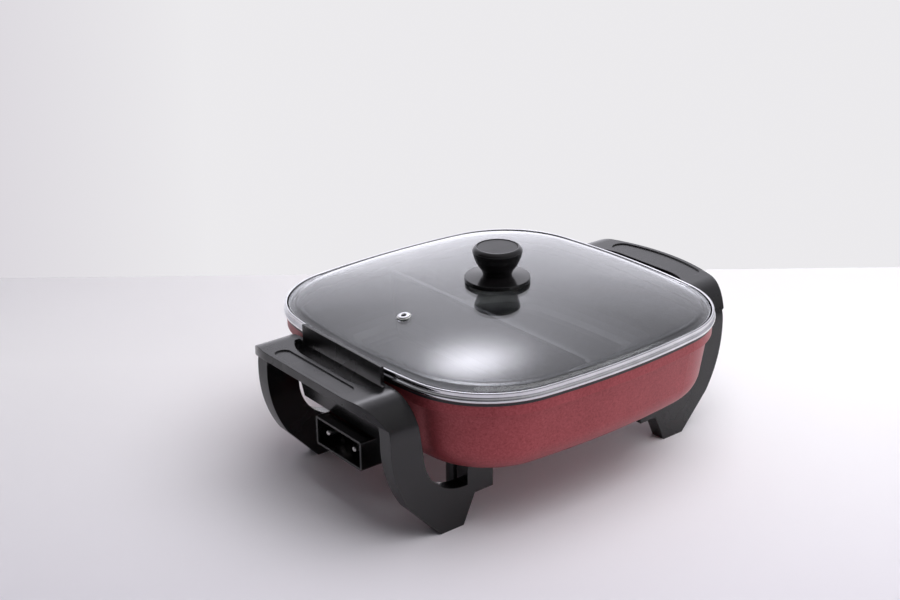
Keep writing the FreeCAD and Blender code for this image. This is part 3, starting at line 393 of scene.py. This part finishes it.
# %% Work out the dome's rings
DOME_CROWN = 17.9 * MM
DOME_FLAT = 17.6 * MM
DOME_BOW = 0.672
DOME_DROOP = 6.2
DOME_RINGS = 34
SIDE_BOW_SHARE, SIDE_BOW_LOSS = 4.29, 2.7
CORNER_SHARE, CORNER_GAIN = 0.522, 0.42
BEND_HALF = 139.0 * MM
BEND_SHARES = (0.35, 0.7, 0.9)
BEND_OVERLAP = 0.5 * MM
GLASS_FOOT_HALF = 143.4 * MM
GLASS_FOOT_LIFT = 0.15 * MM
GLASS_EDGE_HALF = 146.7 * MM
GLASS_EDGE_DROP = 0.6 * MM
GLASS_EDGE_ROUND = 0.9 * MM
GLASS_THICKNESS = 4.0 * MM
GLASS_TOP = RIM_TOP - 1.1 * MM
KNOB_HOLE = 4.0 * MM


def dome_rise(half):
    rise = DOME_CROWN - DOME_BOW * half ** 2 - DOME_DROOP * half ** 4
    return min(rise, DOME_FLAT)


def dome_ring(half, level):
    """A ring of the dome, rounder the nearer it is to the middle."""
    share = (LID_HALF - half) / LID_HALF
    return bowed_ring(half, level, half * (SIDE_BOW_SHARE - SIDE_BOW_LOSS * share),
                      half * (CORNER_SHARE + CORNER_GAIN * share))


def skin_rings(top):
    """Rings of one face of the glass, from its edge to the knob's hole."""
    rings = [dome_ring(GLASS_EDGE_HALF, top - GLASS_EDGE_DROP),
             dome_ring(GLASS_EDGE_HALF - GLASS_EDGE_ROUND, top - GLASS_EDGE_DROP / 3),
             dome_ring(GLASS_FOOT_HALF, top + GLASS_FOOT_LIFT)]
    bend = dome_rise(BEND_HALF)
    for share in BEND_SHARES:
        half = GLASS_FOOT_HALF + (BEND_HALF - GLASS_FOOT_HALF) * share
        rings.append(dome_ring(half, top + bend * share))
    for step in range(DOME_RINGS + 1):
        share = step / DOME_RINGS
        half = (BEND_HALF - BEND_OVERLAP) * (1 - share) + KNOB_HOLE * share
        rings.append(dome_ring(half, top + dome_rise(half)))
    return rings


print("rings in one face:", len(skin_rings(GLASS_TOP)))

# %% [markdown]
# A loft joins rings into a skin, and a cut takes a closed shape out of a piece.
# Both end as plain meshes, since the model that is exported has no modifiers.

# %% Define the loft and the cut
def loft(name, rings, material, closed=False):
    """A smooth mesh through rings of points, as one skin or closed on itself."""
    count = len(rings[0])
    vertices = [tuple(point) for ring in rings for point in ring]
    faces = []
    for row in range(len(rings) - (0 if closed else 1)):
        after = (row + 1) % len(rings)
        for column in range(count):
            beside = (column + 1) % count
            faces.append((row * count + column, row * count + beside,
                          after * count + beside, after * count + column))
    mesh = bpy.data.meshes.new(name)
    mesh.from_pydata(vertices, [], faces)
    mesh.materials.append(material)
    face_outwards(mesh)
    for polygon in mesh.polygons:
        polygon.use_smooth = True
    return add_object(name, mesh)


def face_outwards(mesh):
    work = bmesh.new()
    work.from_mesh(mesh)
    bmesh.ops.recalc_face_normals(work, faces=work.faces)
    work.to_mesh(mesh)
    work.free()


def baked(piece):
    """A plain mesh of a piece with its modifiers carried out."""
    bpy.context.view_layer.update()
    graph = bpy.context.evaluated_depsgraph_get()
    mesh = bpy.data.meshes.new_from_object(piece.evaluated_get(graph))
    piece.modifiers.clear()
    return mesh


def cut_out(piece, name, work):
    """Takes the closed shape in a bmesh out of a piece, and frees the bmesh."""
    mesh = bpy.data.meshes.new(name)
    work.to_mesh(mesh)
    work.free()
    tool = add_object(name, mesh)
    cut = piece.modifiers.new(name, "BOOLEAN")
    cut.object, cut.operation, cut.solver = tool, "DIFFERENCE", "EXACT"
    piece.data = baked(piece)
    bpy.data.objects.remove(tool)


print("loft and cut ready")

# %% [markdown]
# The glass is the upper rings and the lower rings in one closed loft, so that
# its edge and the knob's hole get their walls from the same loft. The hole for
# the steam vent is drilled where the eyelet stands.

# %% Press and drill the glass
VENT_HOLE = 3.7 * MM
DRILL_LENGTH = 30 * MM

upper = skin_rings(GLASS_TOP)
lower = skin_rings(GLASS_TOP - GLASS_THICKNESS)
glass = loft("dome_glass", upper + lower[::-1], FINISHES["tempered_glass"], closed=True)
vent_low, vent_high = corners_of("vent_eyelet")
drill = bmesh.new()
bmesh.ops.create_cone(drill, cap_ends=True, segments=32, radius1=VENT_HOLE,
                      radius2=VENT_HOLE, depth=DRILL_LENGTH,
                      matrix=Matrix.Translation((vent_low + vent_high) / 2))
cut_out(glass, "vent_hole", drill)
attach(glass, "lid")
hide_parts("lid_glass")
print("glass faces:", len(glass.data.polygons))

# %% [markdown]
# ## The rolled steel rim
# A steel strip is rolled round the edge of the glass. Its section has a round
# bead that sits on the pan, a groove, and a fine lip that grips the glass, and
# it is the same all the way round. That is a job for Geometry Nodes: Curve to
# Mesh carries one section along one path.

# %% Draw the strip's section
RIM_SEAT = rim_low.z + 4.0 * MM
BEAD_RADIUS = 2.35 * MM
LIP_TOP = 8.3 * MM
LIP_RADIUS = 1.0 * MM
ARC_STEPS = 10


def arc(across, up, radius, start, end, steps=ARC_STEPS):
    angles = [math.radians(start + (end - start) * step / steps) for step in range(steps + 1)]
    return [(across + radius * math.cos(angle), up + radius * math.sin(angle))
            for angle in angles]


section = [(-6.6 * MM, 0.9 * MM), (-6.2 * MM, 0.25 * MM), (-5.4 * MM, 0.0)]
section += arc(-BEAD_RADIUS, BEAD_RADIUS, BEAD_RADIUS, -90, 62)
section += [(-1.55 * MM, 5.05 * MM), (-1.45 * MM, 5.6 * MM), (-1.15 * MM, 6.3 * MM)]
section += arc(-2.05 * MM, LIP_TOP - LIP_RADIUS, LIP_RADIUS, 10, 170)
section += [(-3.25 * MM, 6.4 * MM), (-3.4 * MM, 4.0 * MM), (-6.6 * MM, 3.0 * MM)]
print("section points:", len(section))

# %% [markdown]
# A tree is a small program: its inputs are what changes from one use to the
# next, and its nodes are the steps. These helpers make a tree with named
# inputs, link its nodes from a list of rows, and run it on an object.

# %% Define the helpers for trees
def new_tree(name, inputs, kinds):
    """A tree with its input and output nodes, and one node of each kind."""
    tree = bpy.data.node_groups.new(name, "GeometryNodeTree")
    tree.interface.new_socket("Geometry", in_out="INPUT", socket_type="NodeSocketGeometry")
    for label, kind in inputs:
        tree.interface.new_socket(label, in_out="INPUT", socket_type="NodeSocket" + kind)
    tree.interface.new_socket("Geometry", in_out="OUTPUT", socket_type="NodeSocketGeometry")
    return tree, [tree.nodes.new(kind) for kind in ("NodeGroupInput", "NodeGroupOutput", *kinds)]


def link_all(tree, rows):
    for source, output, target, entry in rows:
        tree.links.new(source.outputs[output], target.inputs[entry])


def input_named(tree, label):
    for item in tree.interface.items_tree:
        if item.item_type == "SOCKET" and item.in_out == "INPUT" and item.name == label:
            return item.identifier
    raise KeyError(label)


def apply_tree(name, source, tree, **values):
    """Runs a tree on an object and keeps the result as a plain mesh."""
    modifier = source.modifiers.new(tree.name, "NODES")
    modifier.node_group = tree
    for label, value in values.items():
        modifier[input_named(tree, label)] = value
    mesh = baked(source)
    mesh.name = name
    bpy.data.objects.remove(source)
    return add_object(name, mesh)


def poly_curve(name, points):
    """A closed curve of straight steps through points."""
    data = bpy.data.curves.new(name, "CURVE")
    data.dimensions = "3D"
    spline = data.splines.new("POLY")
    spline.points.add(len(points) - 1)
    for slot, point in zip(spline.points, points):
        slot.co = (*point, 1.0)
    spline.use_cyclic_u = True
    return add_object(name, data)


print("tree helpers ready")

# %% [markdown]
# The first tree takes the section as an object, sets the path's normals upright
# so that the section never rolls over, and carries it round.

# %% Build the tree that carries a section along a path
carry_tree, (given, result, fetch, upright, sweep, smooth, realize, paint) = new_tree(
    "carry_section", [("Section", "Object"), ("Finish", "Material")],
    ["GeometryNodeObjectInfo", "GeometryNodeSetCurveNormal", "GeometryNodeCurveToMesh",
     "GeometryNodeSetShadeSmooth", "GeometryNodeRealizeInstances", "GeometryNodeSetMaterial"])
upright.mode = "Z_UP"
link_all(carry_tree, [
    (given, "Section", fetch, "Object"),
    (fetch, "Geometry", sweep, "Profile Curve"),
    (given, "Finish", paint, "Material"),
    (given, "Geometry", upright, "Curve"),
    (upright, "Curve", sweep, "Curve"),
    (sweep, "Mesh", smooth, "Geometry"),
    (smooth, "Geometry", realize, "Geometry"),
    (realize, "Geometry", paint, "Geometry"),
    (paint, "Geometry", result, "Geometry"),
])
print("nodes in the tree:", len(carry_tree.nodes))

# %% [markdown]
# With upright normals a section's second axis points down, so its heights go in
# with their signs turned.

# %% Roll the rim
path = poly_curve("rim_path", bowed_ring(LID_HALF, RIM_SEAT))
strip = poly_curve("rim_section", [(across, -up, 0.0) for across, up in section])
rim = apply_tree("steel_rim", path, carry_tree, Section=strip, Finish=polished_steel)
bpy.data.objects.remove(strip)
face_outwards(rim.data)
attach(rim, "lid")
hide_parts("lid_rim")
print("rim faces:", len(rim.data.polygons))

# %% [markdown]
# ## The screws
# Six pan-head screws with cross recesses hold the brackets and the shroud. They
# differ only in size, so one function turns a screw: an outline of radii and
# levels goes round the axis, and two blades cut the recess.

# %% Turn a screw
SCREW_STEPS = 32
POLE_RADIUS = 0.02 * MM
HEAD_ANGLES = (80, 60, 42, 26, 12, 0)
HEAD_SHARE, SHANK_SHARE = 0.62, 0.5
RECESS_LONG, RECESS_WIDE = 1.1, 0.26


def spun(name, outline, material, steps=SCREW_STEPS):
    """A smooth solid of revolution about Z from (radius, level) pairs."""
    rings = [[Vector((radius * math.cos(math.tau * step / steps),
                      radius * math.sin(math.tau * step / steps), level))
              for step in range(steps)] for radius, level in outline]
    return loft(name, rings, material)


def cross_screw(head_radius, length):
    """A screw that points up, with its head's top at level nought."""
    head_height = head_radius * HEAD_SHARE
    shank_radius = head_radius * SHANK_SHARE
    outline = [(POLE_RADIUS, 0.0)]
    outline += [(head_radius * math.cos(math.radians(angle)),
                 -head_height + head_height * math.sin(math.radians(angle)))
                for angle in HEAD_ANGLES]
    outline += [(shank_radius, -head_height), (shank_radius, -length + shank_radius),
                (POLE_RADIUS, -length)]
    screw = spun("cross_screw", outline, plated_steel)
    blade_size = (head_radius * RECESS_LONG, head_radius * RECESS_WIDE, head_height, 1.0)
    for angle in (0.0, math.pi / 2):
        blade = bmesh.new()
        turned = Matrix.Rotation(angle, 4, "Z") @ Matrix.Diagonal(blade_size)
        bmesh.ops.create_cube(blade, size=1.0, matrix=turned)
        cut_out(screw, "recess_blade", blade)
    return screw


print("points round a screw:", SCREW_STEPS)

# %% [markdown]
# The second tree stands a piece on every point of a mesh that holds nothing but
# places, all turned the same way.

# %% Build the tree that stands a piece on every point
stand_tree, (given, result, fetch, stand, aim, realize, paint) = new_tree(
    "stand_on_points", [("Piece", "Object"), ("Turn", "Vector"), ("Finish", "Material")],
    ["GeometryNodeObjectInfo", "GeometryNodeInstanceOnPoints", "FunctionNodeEulerToRotation",
     "GeometryNodeRealizeInstances", "GeometryNodeSetMaterial"])
link_all(stand_tree, [
    (given, "Piece", fetch, "Object"),
    (fetch, "Geometry", stand, "Instance"),
    (given, "Turn", aim, "Euler"),
    (aim, "Rotation", stand, "Rotation"),
    (given, "Finish", paint, "Material"),
    (given, "Geometry", stand, "Points"),
    (stand, "Instances", realize, "Geometry"),
    (realize, "Geometry", paint, "Geometry"),
    (paint, "Geometry", result, "Geometry"),
])
print("nodes in the tree:", len(stand_tree.nodes))

# %% [markdown]
# Each node of the frame holds a pair of screws, so its box gives everything:
# the head's radius is half the box's short side, the length is its long side,
# and the two heads lie one radius in from its ends.

# %% Stand the screws where the frame has them
SCREW_TURNS = {"x": (0.0, -math.pi / 2, 0.0), "z": (math.pi, 0.0, 0.0)}
SCREW_AXES = {"socket_bracket_screws": "z", "opposite_bracket_screws": "z",
              "shroud_screws": "x"}


def screw_pair(name, axis):
    """The head's radius, the length and the two places of a pair of screws."""
    low, high = corners_of(name)
    middle = (low + high) / 2
    across, length = high.x - low.x, high.z - low.z
    if axis == "x":
        across, length = length, across
    head = across / 2
    x = low.x if axis == "x" else middle.x
    z = low.z if axis == "z" else middle.z
    return head, length, [(x, side, z) for side in (low.y + head, high.y - head)]


for name, axis in SCREW_AXES.items():
    head, length, places = screw_pair(name, axis)
    screw = cross_screw(head, length)
    seats = bpy.data.meshes.new(name + "_places")
    seats.from_pydata(places, [], [])
    holder = add_object(name + "_places", seats)
    screws = apply_tree("fine_" + name, holder, stand_tree, Piece=screw,
                        Turn=SCREW_TURNS[axis], Finish=plated_steel)
    bpy.data.objects.remove(screw)
    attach(screws, "base")
    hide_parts(name)
    print(name, "head radius", round(head / MM, 2), "length", round(length / MM, 2))

# %% [markdown]
# ## The table and the backdrop
# A pale lilac-grey table meets a near-white wall, which is painted darker towards its left edge
# as painted shade. The wall is also what the lid mirrors. To reflected rays it shows a painted
# reflection: a lilac tint, a little brighter in the middle than at the sides, and one painted
# glow on it that shows in the glass as the highlight.

# %% Make the stage's finishes
WALL_DISTANCE = 0.385
STAGE_REACH = 3.0
WALL_HEIGHT = 2.4
CAMERA_AZIMUTH = math.radians(-38.40)
# painted light on the wall, seen only in reflections: the glow's place, size and strength, and
# the wash across it
GLOW_ACROSS, GLOW_HEIGHT = -0.045, 0.615
GLOW_WIDTH, GLOW_TALL, GLOW_STRENGTH = 0.11, 0.085, 6.5
WASH_MIDDLE, WASH_SIDE = 0.75, -0.30
WALL_SHADED_EDGE, WALL_WHITE = (0.66, 0.63, 0.68), (0.835, 0.825, 0.845)
WALL_MIRRORED = (0.80, 0.79, 0.86)
TABLE_NEAR_SHADED, TABLE_FAR = (0.58, 0.555, 0.62), (0.93, 0.915, 0.94)

right = Vector((math.cos(CAMERA_AZIMUTH), math.sin(CAMERA_AZIMUTH), 0.0))
away = Vector((-math.sin(CAMERA_AZIMUTH), math.cos(CAMERA_AZIMUTH), 0.0))


def table_finish():
    finish = Finish("table_white")
    # painted shade: the table's colour darkens towards the camera
    depth = finish.ramp(finish.along(away), -0.42, 0.16)
    finish.set(Base_Color=finish.mix(depth, TABLE_NEAR_SHADED, TABLE_FAR), Roughness=0.75)
    return finish.material


def painted_glow(finish, across, height):
    """A round spot of light that fades out like a bell curve."""
    aside = finish.math("DIVIDE", finish.math("SUBTRACT", across, GLOW_ACROSS), GLOW_WIDTH)
    above = finish.math("DIVIDE", finish.math("SUBTRACT", height, GLOW_HEIGHT), GLOW_TALL)
    spread = finish.math("MULTIPLY", aside, aside)
    spread = finish.math("MULTIPLY_ADD", above, above, spread)
    fading = finish.math("POWER", math.e, finish.math("MULTIPLY", spread, -1.0))
    return finish.math("MULTIPLY", fading, GLOW_STRENGTH)


def backdrop_finish():
    """Painted light to the camera and in reflections, with painted shade to the left, and matt
    paint otherwise.
    """
    finish = Finish("wall_white")
    across = finish.along(right)
    height = finish.node("SeparateXYZ", out=2, Vector=finish.place)
    # painted shade: the wall's colour darkens towards its left edge
    white = finish.mix(finish.ramp(across, -0.62, -0.30), WALL_SHADED_EDGE, WALL_WHITE)
    rays = finish.tree.nodes.new("ShaderNodeLightPath").outputs
    seen = finish.math("MAXIMUM", rays["Is Camera Ray"], rays["Is Glossy Ray"])
    seen = finish.math("MAXIMUM", seen, rays["Is Transmission Ray"])
    # painted reflection: reflected rays see a lilac tint, a wash brighter in the middle, and the
    # painted glow
    mirrored = finish.math("SUBTRACT", 1.0, rays["Is Camera Ray"])
    aside = finish.math("ABSOLUTE", finish.math("SUBTRACT", across, GLOW_ACROSS))
    wash = finish.math("MULTIPLY_ADD",
                       finish.ramp(aside, 0.06, 0.55, WASH_MIDDLE, WASH_SIDE), mirrored, 1.0)
    strength = finish.math("ADD", painted_glow(finish, across, height), wash)
    light = finish.node("Emission", Color=finish.mix(mirrored, white, WALL_MIRRORED),
                        Strength=strength)
    paint = finish.node("BsdfDiffuse", Color=white)
    blend = finish.node("MixShader", _0=seen, _1=paint, _2=light)
    finish.feed(finish.tree.nodes["Material Output"].inputs["Surface"], blend)
    return finish.material


table_white, wall_white = table_finish(), backdrop_finish()
print("made", table_white.name, wall_white.name)

# %% [markdown]
# The table and the wall are one sheet each, square to the camera's heading, so
# that the line where they meet runs level across the picture.

# %% Stand the table and the wall
def stage_sheet(name, corners, material):
    mesh = bpy.data.meshes.new(name)
    mesh.from_pydata([tuple(corner) for corner in corners], [], [(0, 1, 2, 3)])
    mesh.materials.append(material)
    sheet = add_object(name, mesh)
    return sheet


left, near = right * -STAGE_REACH, away * -STAGE_REACH
far = away * WALL_DISTANCE
up = Vector((0.0, 0.0, WALL_HEIGHT))
table = stage_sheet("table", [left + near, -left + near, -left + far, left + far], table_white)
backdrop = stage_sheet("backdrop", [left + far, -left + far, -left + far + up, left + far + up],
                       wall_white)
print("stage:", table.name, backdrop.name)

# %% [markdown]
# ## The light
# A large soft lamp stands overhead to the right and throws the soft shadow to
# the left, and a weak one fills in the side. Neither is seen in reflections,
# where its straight edges would cut across the lid. The sky is brighter above
# and behind than in front, which keeps the near faces of the brackets dark.

# %% Hang the lamps
AIM = Vector((0.0, 0.0, 0.08))
KEY_PLACE = away * -0.10 + right * 0.38 + Vector((0.0, 0.0, 1.25))
FILL_PLACE = away * -0.9 + right * 1.4 + Vector((0.0, 0.0, 0.70))
SKY_COLOUR = (0.92, 0.91, 0.95, 1.0)
SKY_HEADING = (away * 0.5 + right * 0.45 + Vector((0.0, 0.0, 0.75))).normalized()
SKY_FADE = {"From Min": -0.3, "From Max": 0.9, "To Min": 0.06, "To Max": 0.62}


def lamp(name, place, size, power):
    data = bpy.data.lights.new(name, "AREA")
    data.shape = "RECTANGLE"
    data.size, data.size_y = size
    data.energy = power
    made = add_object(name, data)
    made.location = place
    made.rotation_euler = (AIM - place).to_track_quat("-Z", "Y").to_euler()
    made.visible_glossy = False
    return made


def studio_sky():
    world = bpy.data.worlds.new("studio")
    world.use_nodes = True
    tree = world.node_tree
    sky = tree.nodes["Background"]
    sky.inputs["Color"].default_value = SKY_COLOUR
    heading = tree.nodes.new("ShaderNodeTexCoord")
    facing = tree.nodes.new("ShaderNodeVectorMath")
    facing.operation = "DOT_PRODUCT"
    facing.inputs[1].default_value = tuple(SKY_HEADING)
    fade = tree.nodes.new("ShaderNodeMapRange")
    for label, value in SKY_FADE.items():
        fade.inputs[label].default_value = value
    link_all(tree, [(heading, "Generated", facing, 0), (facing, "Value", fade, "Value"),
                    (fade, "Result", sky, "Strength")])
    return world


lamps = [lamp("key_softbox", KEY_PLACE, (1.6, 1.2), 18.0),
         lamp("side_fill", FILL_PLACE, (0.9, 0.7), 4.5)]
bpy.context.scene.world = studio_sky()
print("lamps:", [made.name for made in lamps])

# %% [markdown]
# ## The camera
# It looks down on the skillet from the front left. Its axes are worked out from
# the heading, the dip and a slight roll, and go into its matrix as columns.

# %% Place the camera
CAMERA_ELEVATION = math.radians(22.31)
CAMERA_ROLL = math.radians(-0.71)
CAMERA_PLACE = Vector((-0.72467, -0.84613, 0.58296))
CAMERA_LENS = 59.56

back = Vector((math.sin(CAMERA_AZIMUTH) * math.cos(CAMERA_ELEVATION),
               -math.cos(CAMERA_AZIMUTH) * math.cos(CAMERA_ELEVATION),
               math.sin(CAMERA_ELEVATION)))
upward = back.cross(right)
rolled_right = right * math.cos(CAMERA_ROLL) + upward * math.sin(CAMERA_ROLL)
rolled_up = upward * math.cos(CAMERA_ROLL) - right * math.sin(CAMERA_ROLL)
camera_data = bpy.data.cameras.new("camera")
camera_data.sensor_width = 36.0
camera_data.lens = CAMERA_LENS
camera = add_object("camera", camera_data)
turn = Matrix((rolled_right, rolled_up, back)).transposed().to_4x4()
camera.matrix_world = Matrix.Translation(CAMERA_PLACE) @ turn
bpy.context.scene.camera = camera
bpy.context.scene.view_settings.view_transform = "Standard"
print("camera at", tuple(CAMERA_PLACE))
